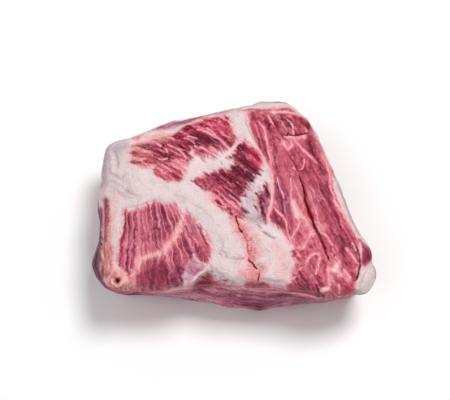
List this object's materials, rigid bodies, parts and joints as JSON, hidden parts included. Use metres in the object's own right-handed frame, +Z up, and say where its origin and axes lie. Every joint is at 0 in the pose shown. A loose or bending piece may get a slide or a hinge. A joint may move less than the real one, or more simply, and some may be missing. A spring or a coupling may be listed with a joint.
{
  "type": "raw boneless pork neck",
  "caption": "Raw boneless pork neck block with a marbled cut face of lean and fat on top, rounded sides and a flat underside that it rests on.",
  "frame": {"origin": "On the surface the meat rests on, under the middle of its bounding box.", "axes": "+Z up, out of the marbled cut face; +X along the block, from the end with the cut blood vessel to the end with the long split; +Y from the front side to the back side."},
  "size_m": [0.2026, 0.1522, 0.0713],
  "materials": {
    "raw_pork": "moist raw meat, satin, with pale fat between dark pink lean"
  },
  "bodies": {
    "root": {"pork_neck": "raw_pork"}
  },
  "joints": []
}
